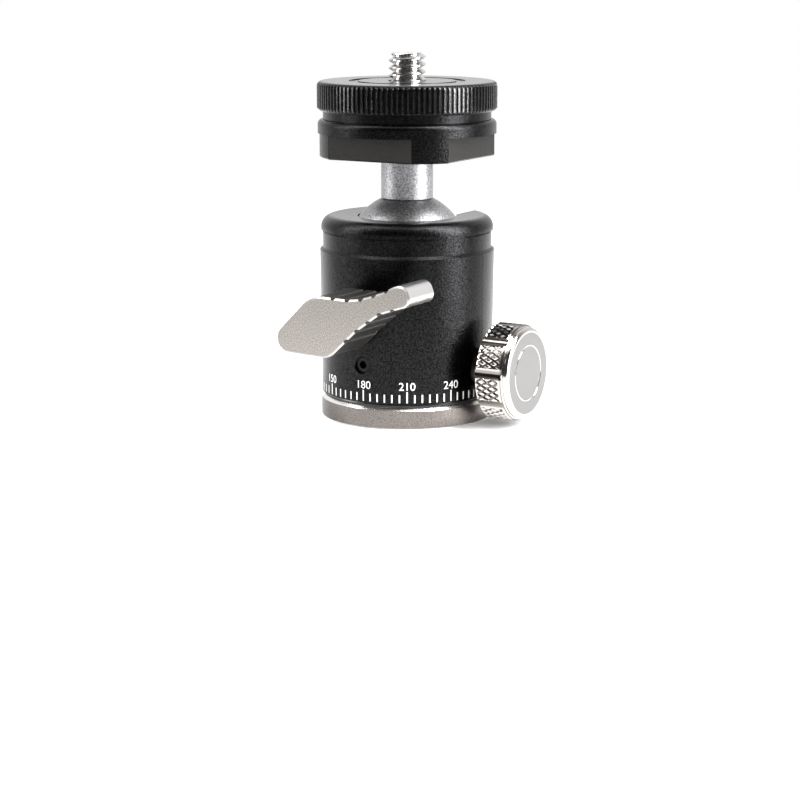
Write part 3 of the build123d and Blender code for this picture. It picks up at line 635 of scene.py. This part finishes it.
chamfer_r = DISC_R - FOOT_CHAMFER
profile = [(DISC_BORE_R, DISC_FOOT), (DISC_NECK_R, DISC_FOOT), (DISC_NECK_R, BAND_FOOT)]
profile += [(chamfer_r + cut, BAND_FOOT + cut) for cut in even_steps(0, FOOT_CHAMFER, 4)]
profile += [(DISC_R, z) for z in even_steps(RIBS_FROM, RIBS_TO, 3)]
profile += rounded(DISC_R - RIM_ROUND, BAND_TOP - RIM_ROUND, RIM_ROUND, 0, 90, 8)
profile += [
    (RECESS_OUTSIDE, BAND_TOP),
    (RECESS_OUTSIDE - RECESS_DRAFT, BAND_TOP - RECESS_DEPTH),
    (RECESS_INSIDE + RECESS_DRAFT, BAND_TOP - RECESS_DEPTH),
    (RECESS_INSIDE, BAND_TOP),
    (DISC_BORE_R, BAND_TOP),
]
bm = bmesh.new()
turn_profile(bm, draw_profile(bm, profile), RIBS * STEPS_PER_RIB)
for vert in bm.verts:
    step = round(angle_of(vert) / (2 * pi) * RIBS * STEPS_PER_RIB) % STEPS_PER_RIB
    on_band = radius_of(vert) > RIB_FLOOR_R and vert.co.z > BAND_FOOT * MM
    if step >= FIRST_LOW_STEP and on_band:
        set_radius(vert, RIB_FLOOR_R)
disc = make_piece(bm, "ribbed_disc", "disc", [ribbed_black], ["lock_disc"])
sharpen(disc, 28)

# %% [markdown]
# ## The camera stud
#
# The thread is the standard one for cameras, a quarter of an inch over its crests. A spin that
# also rises makes a true screw: one tooth of the thread is drawn and turned upwards, one pitch
# for each turn. Then the two ends are cut flat, and the top is narrowed to a chamfer.

# %% Threaded stud
PITCH = 1.27
CREST_R, ROOT_R = 3.175, 2.43
STUD_FOOT, STUD_TOP, STUD_CHAMFER = 48.58, 62.0, 0.6
CREST_SIDE = radians(30.0) + pi  # angle round Z at which the tooth is drawn
CREST_AT = 60.72  # height of a crest there
STEPS_PER_TURN = 48
HALF_TOOTH = [  # radius, and distance from the crest's middle as a share of the pitch
    (ROOT_R, 0.5),
    (ROOT_R, 0.42),
    (ROOT_R + 0.25, 0.3),
    (ROOT_R + 0.5, 0.18),
    (CREST_R, 0.07),
]


def slice_through(bm, point, normal, **clear):
    """Cut a bmesh along a plane, and give what the cut made."""
    everything = bm.verts[:] + bm.edges[:] + bm.faces[:]
    made = bmesh.ops.bisect_plane(
        bm, geom=everything, plane_co=point, plane_no=normal, **clear
    )
    return made["geom_cut"]


tooth = [(r, -z) for r, z in HALF_TOOTH] + HALF_TOOTH[::-1]
turns_below = int((CREST_AT - STUD_FOOT) / PITCH) + 2
first_crest = CREST_AT - turns_below * PITCH
turns = turns_below + 3
bm = bmesh.new()
thread = draw_profile(bm, [(r, first_crest + z * PITCH) for r, z in tooth], closed=False)
to_side = Matrix.Rotation(CREST_SIDE, 3, "Z")
bmesh.ops.rotate(bm, verts=bm.verts, cent=(0, 0, 0), matrix=to_side)
turn_profile(bm, thread, STEPS_PER_TURN * turns, 2 * pi * turns, PITCH)
bmesh.ops.remove_doubles(bm, verts=bm.verts, dist=0.002 * MM)
for height, is_foot in ((STUD_FOOT, True), (STUD_TOP, False)):
    plane = (0, 0, height * MM), (0, 0, 1)
    cut = slice_through(bm, *plane, clear_inner=is_foot, clear_outer=not is_foot)
    rim = [part for part in cut if isinstance(part, bmesh.types.BMEdge)]
    bmesh.ops.holes_fill(bm, edges=rim, sides=0)
for vert in bm.verts:
    most = CREST_R - max(0, vert.co.z / MM - (STUD_TOP - STUD_CHAMFER))
    if radius_of(vert) > most:
        set_radius(vert, most)
stud = make_piece(
    bm, "threaded_stud", "camera_platform", [finishes["stud_steel"]], ["camera_stud"]
)
sharpen(stud, 35)

# %% [markdown]
# ## The pan knob
#
# The knob's band is knurled: two sets of slanting V grooves cross and leave rows of diamonds.
# Nine smooth flutes cut through the knurling. A boolean cut for every groove would be slow and
# leave a ragged mesh. Instead, two functions say how deep the band is cut at any point: one
# for the grooves, and one that lets a flute take over where there is one.

# %% Grooves and flutes
KNOB_R = 8.25
KNOB_BACK, BAND_END = 17.6, 22.35
KNURL_FROM, KNURL_TO = KNOB_BACK + 0.3, BAND_END - 0.3
KNURL_DEPTH = 0.3
DIAMONDS_ROUND = 48
DIAMOND_LENGTH = 2.1
GROOVE_SHARE = 0.24  # half a groove's width, as a share of a diamond
FLUTES = 9
FLUTE_START = radians(13.5)
FLUTE_R, FLUTE_DEPTH = 1.8, 0.3
FLUTE_AT = KNOB_R - FLUTE_DEPTH + FLUTE_R  # from the knob's axis to the axis of a flute
FLUTE_HALF = acos((KNOB_R**2 + FLUTE_AT**2 - FLUTE_R**2) / (2 * KNOB_R * FLUTE_AT))


def groove_depth(turned, along):
    """Depth of the deeper of the two slanting grooves at a point, as a share from 0 to 1."""
    deepest = 0.0
    for slant in (1, -1):
        off = (turned * DIAMONDS_ROUND / (2 * pi) + slant * along / DIAMOND_LENGTH) % 1.0
        off = min(off, 1.0 - off)
        deepest = max(deepest, 1.0 - off / GROOVE_SHARE)
    return deepest


def cut_radius(r, turned, along):
    """Radius that a point of the band has after the grooves and flutes are cut."""
    from_flute = (turned - FLUTE_START + pi / FLUTES) % (2 * pi / FLUTES) - pi / FLUTES
    if abs(from_flute) < FLUTE_HALF:
        across = FLUTE_AT * sin(from_flute)
        return min(r, FLUTE_AT * cos(from_flute) - sqrt(FLUTE_R**2 - across**2))
    if KNURL_FROM < along < KNURL_TO:
        return r - KNURL_DEPTH * groove_depth(turned, along)
    return r


print("a flute is", round(2 * FLUTE_HALF * KNOB_R, 2), "mm wide")

# %% [markdown]
# The band is spun with enough steps for each diamond to have its own slopes, and each point of
# its skin is moved to the radius that the functions give. The knob is turned about Z like the
# other pieces and then laid along X, with a hole for the pan screw and a seat for its cap.

# %% Knurled knob
STEPS_PER_DIAMOND = 12
KNURL_ROWS = 24
EASED = 0.25
END_CORNERS = ((0, -0.25), (0.3, 0.05), (0.5, EASED))  # inwards, and past the band's end
SCREW_HOLE_R, HUB_R, HUB_FACE = 2.55, 3.3, 14.35
LIP_R, LIP_END = 7.5, 22.85
SEAT_R, SEAT_FLOOR = 6.05, 21.6
SKIN_R, SKIN_TO = 7.9, 22.3  # the band's skin lies outside this radius and short of this end
# Z goes to X, and the start of the spin to +Y, at the height of the pan screw
TO_PAN_AXIS = Matrix.Translation((0, 0, PAN_Z * MM)) @ Matrix(
    ((0, 0, 1, 0), (1, 0, 0, 0), (0, 1, 0, 0), (0, 0, 0, 1))
)

profile = [(SCREW_HOLE_R, HUB_FACE), (HUB_R, HUB_FACE), (HUB_R, KNOB_BACK)]
profile += [(KNOB_R - EASED, KNOB_BACK), (KNOB_R, KNOB_BACK + EASED)]
profile += [(KNOB_R, x) for x in even_steps(KNURL_FROM, KNURL_TO, KNURL_ROWS)]
profile += [(KNOB_R - inwards, BAND_END + past) for inwards, past in END_CORNERS]
profile += [(LIP_R, BAND_END + EASED), (LIP_R, LIP_END)]
profile += [(SEAT_R, LIP_END), (SEAT_R, SEAT_FLOOR), (SCREW_HOLE_R, SEAT_FLOOR)]
bm = bmesh.new()
turn_profile(bm, draw_profile(bm, profile), DIAMONDS_ROUND * STEPS_PER_DIAMOND)
for vert in bm.verts:
    r, along = radius_of(vert), vert.co.z / MM
    if r >= SKIN_R and along <= SKIN_TO:
        set_radius(vert, cut_radius(r, angle_of(vert), along))
bmesh.ops.transform(bm, verts=bm.verts, matrix=TO_PAN_AXIS)
knob = make_piece(bm, "knurled_knob", "knob", [nickel], ["pan_knob"])
sharpen(knob, 20)

# %% [markdown]
# The knob's end is a separate cap: a satin face with a fine ring turned in it and a polished
# bevel all round. Two materials on one mesh keep the line between them exact.

# %% Knob cap
CAP_FACE, CAP_BACK, CAP_R = 23.55, 22.85, 7.8
SPIGOT_R, SPIGOT_END = 6.0, 21.65
BEVEL_R, FACE_R = 0.65, 6.95
RING_R, RING_HALF, RING_FLOOR_HALF, RING_DEPTH = 4.68, 0.11, 0.05, 0.07
CAP_STEPS = 180
SATIN, POLISHED = 0, 1  # places of the two materials on the mesh
CLOSE = 0.01

profile = [(0, SPIGOT_END), (SPIGOT_R, SPIGOT_END), (SPIGOT_R, CAP_BACK), (CAP_R, CAP_BACK)]
profile += rounded(CAP_R - BEVEL_R, CAP_FACE - BEVEL_R, BEVEL_R, 0, 90, 8)
profile += [(FACE_R, CAP_FACE), (RING_R + RING_HALF, CAP_FACE)]
profile += [(RING_R + RING_FLOOR_HALF, CAP_FACE - RING_DEPTH)]
profile += [(RING_R - RING_FLOOR_HALF, CAP_FACE - RING_DEPTH)]
profile += [(RING_R - RING_HALF, CAP_FACE), (0, CAP_FACE)]
bm = bmesh.new()
turn_profile(bm, draw_profile(bm, profile, closed=False), CAP_STEPS)
bmesh.ops.remove_doubles(bm, verts=bm.verts, dist=0.001 * MM)
bmesh.ops.transform(bm, verts=bm.verts, matrix=TO_PAN_AXIS)
for face in bm.faces:
    middle = face.calc_center_median()
    r = hypot(middle.y, middle.z - PAN_Z * MM) / MM
    plain = middle.x / MM > CAP_FACE - CLOSE and r < FACE_R + CLOSE
    face.material_index = SATIN if plain else POLISHED
cap_materials = [finishes["satin_nickel"], nickel]
cap = make_piece(bm, "knob_cap", "knob", cap_materials, ["pan_knob_cap"])
sharpen(cap, 28)

# %% [markdown]
# ## The cup's spring
#
# A disc spring keeps the cup against the ball. It is a thin cone inside the body, and it gives
# way when the cup is let down. A turned copy with a mesh of its own takes the solid's place,
# because only a new piece can be squashed.

# %% Cup spring
SPRING_INNER_R, SPRING_THICK, SPRING_STEPS = 8.8, 0.5, 120
lowest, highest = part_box("cup_spring")
foot, top, spring_r = lowest.z / MM, highest.z / MM, highest.x / MM
profile = [(spring_r, foot), (spring_r, foot + SPRING_THICK)]
profile += [(SPRING_INNER_R, top), (SPRING_INNER_R, top - SPRING_THICK)]
bm = bmesh.new()
turn_profile(bm, draw_profile(bm, profile), SPRING_STEPS)
spring = make_piece(
    bm, "disc_spring", "head_body", [finishes["zinc_steel"]], ["cup_spring"]
)
sharpen(spring, 28)
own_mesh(spring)

# %% [markdown]
# ## The degree scale
#
# A scale is printed round the foot of the housing, a tick every five degrees and a number
# every thirty. An image could be wrapped round instead, but it would blur close up, while
# print that is geometry stays crisp. The ticks are small grids, bent round the body.

# %% Scale ticks
SCALE_FOOT = 4.62
MINOR_TOP, MAJOR_TOP = 5.99, 6.52
TICK_HALF = 0.12
DEGREES_PER_TICK, DEGREES_PER_NUMBER = 5, 30
PRINT_PROUD = 0.012
HOUSING_R, HOUSING_FOOT = 14.75, 4.36
HOUSING_GAIN, HOUSING_HEIGHT = 0.2, 24.44  # its side widens by so much over that height
SCALE_START = 270


def wrap_print(verts, degree):
    """Bend flat print, drawn in XY millimetres, round the housing at a degree of the scale."""
    for vert in verts:
        z = vert.co.y
        side_r = HOUSING_R + (z - HOUSING_FOOT) * HOUSING_GAIN / HOUSING_HEIGHT
        r = side_r + PRINT_PROUD
        turned = radians(degree - SCALE_START) + vert.co.x / r
        vert.co = Vector((r * cos(turned), r * sin(turned), z)) * MM


print_bm = bmesh.new()
for degree in range(0, 360, DEGREES_PER_TICK):
    top = MINOR_TOP if degree % DEGREES_PER_NUMBER else MAJOR_TOP
    middle = Matrix.Translation((0, (SCALE_FOOT + top) / 2, 0))
    stretch = Matrix.Diagonal((TICK_HALF, (top - SCALE_FOOT) / 2, 1, 1))
    tick = bmesh.ops.create_grid(
        print_bm, x_segments=2, y_segments=3, size=1, matrix=middle @ stretch
    )
    wrap_print(tick["verts"], degree)
print("ticks:", 360 // DEGREES_PER_TICK)

# %% [markdown]
# The numbers are text, turned to a mesh and cut into narrow strips so that they can bend too.
# At the end the whole print gets a thin skin behind it, which closes it.

# %% Scale numbers
DIGIT_FOOT, DIGIT_HEIGHT = 6.77, 1.38
DIGIT_SHARE = 0.72  # height of a digit, as a share of the size of the text
NUMBER_HALF, NUMBER_STRIPS = 3, 24
PRINT_THICK = 0.03

for degree in range(0, 360, DEGREES_PER_NUMBER):
    curve = bpy.data.curves.new("digits", "FONT")
    curve.body = str(degree)
    curve.align_x = "CENTER"
    curve.size = DIGIT_HEIGHT / DIGIT_SHARE
    writing = bpy.data.objects.new("digits", curve)
    flat = bpy.data.meshes.new_from_object(writing)
    digits = bmesh.new()
    digits.from_mesh(flat)
    for cut_x in even_steps(-NUMBER_HALF, NUMBER_HALF, NUMBER_STRIPS):
        slice_through(digits, (cut_x, 0, 0), (1, 0, 0))
    bmesh.ops.translate(digits, verts=digits.verts, vec=(0, DIGIT_FOOT, 0))
    wrap_print(digits.verts, degree)
    digits.to_mesh(flat)
    digits.free()
    print_bm.from_mesh(flat)
    bpy.data.objects.remove(writing)
    bpy.data.curves.remove(curve)
    bpy.data.meshes.remove(flat)
skin = bmesh.ops.extrude_face_region(print_bm, geom=print_bm.faces[:], use_keep_orig=True)
for part in skin["geom"]:
    if isinstance(part, bmesh.types.BMVert):
        set_radius(part, radius_of(part) - PRINT_THICK)
paint = [finishes["scale_paint"]]
make_piece(print_bm, "degree_scale", "head_body", paint, smooth=False)

# %% [markdown]
# ## Floor and light
#
# The object stands on a white table that fades into a white room. The floor is a large disc:
# near the object it is a matt surface that takes the shadow, and further out it turns clear,
# so that the room is seen through it and there is no horizon line.

# %% Floor
FLOOR_R = 6.0
FADE_R = 0.34
floor_mesh = bpy.data.meshes.new("floor")
bm = bmesh.new()
bmesh.ops.create_circle(bm, cap_ends=True, segments=96, radius=FLOOR_R)
bm.to_mesh(floor_mesh)
bm.free()
ground = bpy.data.objects.new("floor", floor_mesh)
bpy.context.scene.collection.objects.link(ground)
floor_material, floor_shader = new_material("floor", (0.86, 0.86, 0.86), 0.0, 0.9)
tree = floor_material.node_tree
place = add_node(tree, "ShaderNodeTexCoord")
scaled = add_node(tree, "ShaderNodeMapping", {"Scale": (1 / FADE_R,) * 3})
fade = add_node(tree, "ShaderNodeTexGradient", gradient_type="SPHERICAL")
clear = add_node(tree, "ShaderNodeBsdfTransparent")
mix = add_node(tree, "ShaderNodeMixShader")
tree.links.new(place.outputs["Object"], scaled.inputs["Vector"])
tree.links.new(scaled.outputs["Vector"], fade.inputs["Vector"])
tree.links.new(fade.outputs["Fac"], mix.inputs["Fac"])
tree.links.new(clear.outputs["BSDF"], mix.inputs[1])
tree.links.new(floor_shader.outputs["BSDF"], mix.inputs[2])
tree.links.new(mix.outputs["Shader"], tree.nodes["Material Output"].inputs["Surface"])
floor_mesh.materials.append(floor_material)
print("floor is clear from", FADE_R, "m out")

# %% [markdown]
# The room is white to the eye and dimmer for matt surfaces, which get most of their light from
# the soft boxes. To reflections the room is bright behind the object and dark on the camera's
# side, so that a black body stays black where it faces the camera and turns bright at its
# edges. Large white cards would do the same in a studio; here the world's light does it.

# %% World
SEEN, MATT = 1.0, 0.55  # strength of the room to the eye and to matt surfaces
MIRRORED_FRONT, MIRRORED_BACK = 0.05, 1.0  # and to reflections
BACK_FROM = 0.6  # how far a direction leans backwards where the room is fully bright
world = bpy.data.worlds.new("room")
bpy.context.scene.world = world
world.use_nodes = True
tree = world.node_tree
background = tree.nodes["Background"]
background.inputs["Color"].default_value = (1, 1, 1, 1)
place = add_node(tree, "ShaderNodeTexCoord")
facing = add_node(tree, "ShaderNodeVectorMath", operation="DOT_PRODUCT")
facing.inputs[1].default_value = (-sin(VIEW_AROUND), cos(VIEW_AROUND), 0)
mirrored = add_node(
    tree,
    "ShaderNodeMapRange",
    {"From Min": 0.0, "From Max": BACK_FROM, "To Min": MIRRORED_FRONT, "To Max": MIRRORED_BACK},
    interpolation_type="SMOOTHSTEP",
)
path = add_node(tree, "ShaderNodeLightPath")
shiny = add_node(tree, "ShaderNodeMath", operation="MAXIMUM")
unseen = add_node(tree, "ShaderNodeMix", {"A": MATT}, data_type="FLOAT")
strength = add_node(tree, "ShaderNodeMix", {"B": SEEN}, data_type="FLOAT")
tree.links.new(place.outputs["Generated"], facing.inputs[0])
tree.links.new(facing.outputs["Value"], mirrored.inputs["Value"])
tree.links.new(path.outputs["Is Glossy Ray"], shiny.inputs[0])
tree.links.new(path.outputs["Is Transmission Ray"], shiny.inputs[1])
tree.links.new(shiny.outputs["Value"], unseen.inputs["Factor"])
tree.links.new(mirrored.outputs["Result"], unseen.inputs["B"])
tree.links.new(path.outputs["Is Camera Ray"], strength.inputs["Factor"])
tree.links.new(unseen.outputs["Result"], strength.inputs["A"])
tree.links.new(strength.outputs["Result"], background.inputs["Strength"])
print("world:", len(tree.nodes), "nodes")

# %% [markdown]
# Three soft boxes light the object: a strong one on the right, a weaker one on the left and a
# faint one overhead. Point lamps could give the same amount of light, but round shiny metal
# mirrors its lamps, and only a tall box is mirrored as one long clean stripe.

# %% Soft boxes
LAMP_AIM = Vector((0, 0, 0.03))
LAMP_DISTANCE = 0.8
LAMPS = {  # degrees round from the camera and above the floor, width, height, power
    "right_box": (68, 33, 0.36, 1.3, 36.0),
    "left_box": (-86, 36, 0.3, 1.3, 10.5),
    "top_box": (0, 82, 0.6, 0.6, 2.5),
}
for name, (around, above, width, height, power) in LAMPS.items():
    data = bpy.data.lights.new(name, "AREA")
    data.shape = "RECTANGLE"
    data.size = width
    data.size_y = height
    data.energy = power
    lamp = bpy.data.objects.new(name, data)
    toward = direction(VIEW_AROUND + radians(around), radians(above))
    place_facing(lamp, LAMP_AIM, toward, LAMP_DISTANCE)
print("soft boxes:", len(LAMPS))
